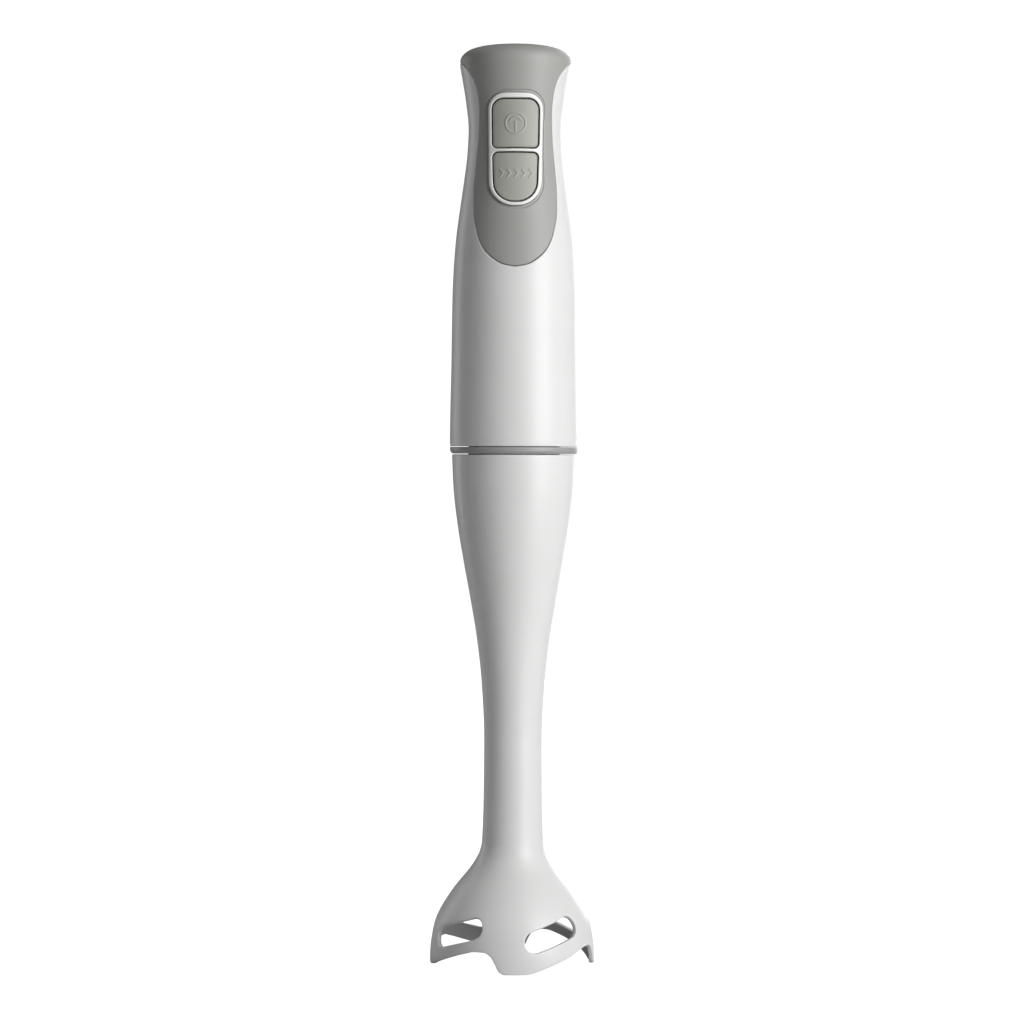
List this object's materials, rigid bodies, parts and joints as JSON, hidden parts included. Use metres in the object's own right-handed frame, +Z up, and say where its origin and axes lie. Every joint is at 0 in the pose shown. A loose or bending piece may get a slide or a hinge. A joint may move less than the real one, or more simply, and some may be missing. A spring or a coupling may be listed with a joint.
{
  "type": "immersion blender",
  "caption": "Upright stick blender: motor unit with a thumb-button panel over a twist-off leg that flares into a slotted bell with a blade.",
  "frame": {"origin": "middle of the bell's rim, on the plane of its feet", "axes": "+Z up the blender from the bell to the head, the buttons face -Y"},
  "size_m": [0.0684, 0.0684, 0.38],
  "materials": {
    "white_plastic": "satin moulded plastic",
    "grip_grey": "fine matt texture",
    "bezel_white": "smooth satin",
    "button_grey": "matt",
    "ring_grey": "satin",
    "nylon": "natural",
    "black_plastic": "moulded",
    "board_green": "lacquered board",
    "capacitor_yellow": "moulded box",
    "rubber_black": "matt",
    "lead_red": "sleeved wire",
    "lead_blue": "sleeved wire",
    "ferrite": "sintered",
    "carbon": "pressed",
    "steel": "brushed",
    "zinc_steel": "zinc plated",
    "copper": "bare copper",
    "bronze": "sintered bronze",
    "brass": "drawn"
  },
  "bodies": {
    "motor_unit": {"motor_housing": "white_plastic", "grip_cover": "grip_grey", "button_bezel": "bezel_white", "power_spring": "steel", "power_switch": "black_plastic", "turbo_spring": "steel", "turbo_switch": "black_plastic", "switch_board": "board_green", "board_screw_1": "steel", "board_screw_2": "steel", "interference_capacitor": "capacitor_yellow", "bridge_rectifier": "black_plastic", "suppression_choke": "copper", "cord_gland": "rubber_black", "trim_ring": "ring_grey", "leg_socket": "black_plastic", "motor_can": "zinc_steel", "magnet_1": "ferrite", "magnet_2": "ferrite", "motor_end_cap": "black_plastic", "lower_bearing": "bronze", "upper_bearing": "bronze", "lower_motor_mount": "rubber_black", "upper_motor_mount": "rubber_black", "brush_holder_1": "brass", "brush_holder_2": "brass", "carbon_brush_1": "carbon", "carbon_brush_2": "carbon", "brush_spring_1": "steel", "brush_spring_2": "steel", "motor_lead_live": "lead_red", "motor_lead_neutral": "lead_blue"},
    "power_button": {"power_button": "button_grey", "power_plunger": "nylon"},
    "turbo_button": {"turbo_button": "button_grey", "turbo_plunger": "nylon"},
    "rotor": {"motor_shaft": "steel", "armature_core": "zinc_steel", "armature_winding": "copper", "commutator": "copper", "cooling_fan": "black_plastic", "motor_coupling": "nylon"},
    "leg": {"leg_housing": "white_plastic", "leg_collar": "nylon", "upper_bush": "bronze", "middle_bush": "nylon", "lower_bush": "bronze", "shaft_seal": "rubber_black", "seal_retainer": "steel", "collar_seal": "rubber_black"},
    "blade_drive": {"drive_shaft": "steel", "leg_coupling": "black_plastic", "shaft_circlip": "steel", "blade_hub": "steel", "blade": "steel", "blade_nut": "steel"}
  },
  "joints": [
    {"name": "power_press", "type": "slide", "parent": "motor_unit", "child": "power_button", "axis": [0, 1, 0], "range_m": [0, 0.002], "stiffness_N_per_m": 800, "deforming": ["power_spring"]},
    {"name": "turbo_press", "type": "slide", "parent": "motor_unit", "child": "turbo_button", "axis": [0, 1, 0], "range_m": [0, 0.002], "stiffness_N_per_m": 800, "deforming": ["turbo_spring"]},
    {"name": "motor_spin", "type": "hinge", "parent": "motor_unit", "child": "rotor", "pos_m": [0, 0, 0.27], "axis": [0, 0, 1], "continuous": true},
    {"name": "blade_spin", "type": "hinge", "parent": "motor_unit", "child": "blade_drive", "pos_m": [0, 0, 0.12], "axis": [0, 0, 1], "continuous": true},
    {"name": "leg_twist", "type": "hinge", "parent": "motor_unit", "child": "leg", "pos_m": [0, 0, 0.2], "axis": [0, 0, 1], "range_deg": [0, 25]}
  ],
  "couplings": [
    {"joint": "blade_spin", "follows": "motor_spin", "ratio": 1}
  ]
}
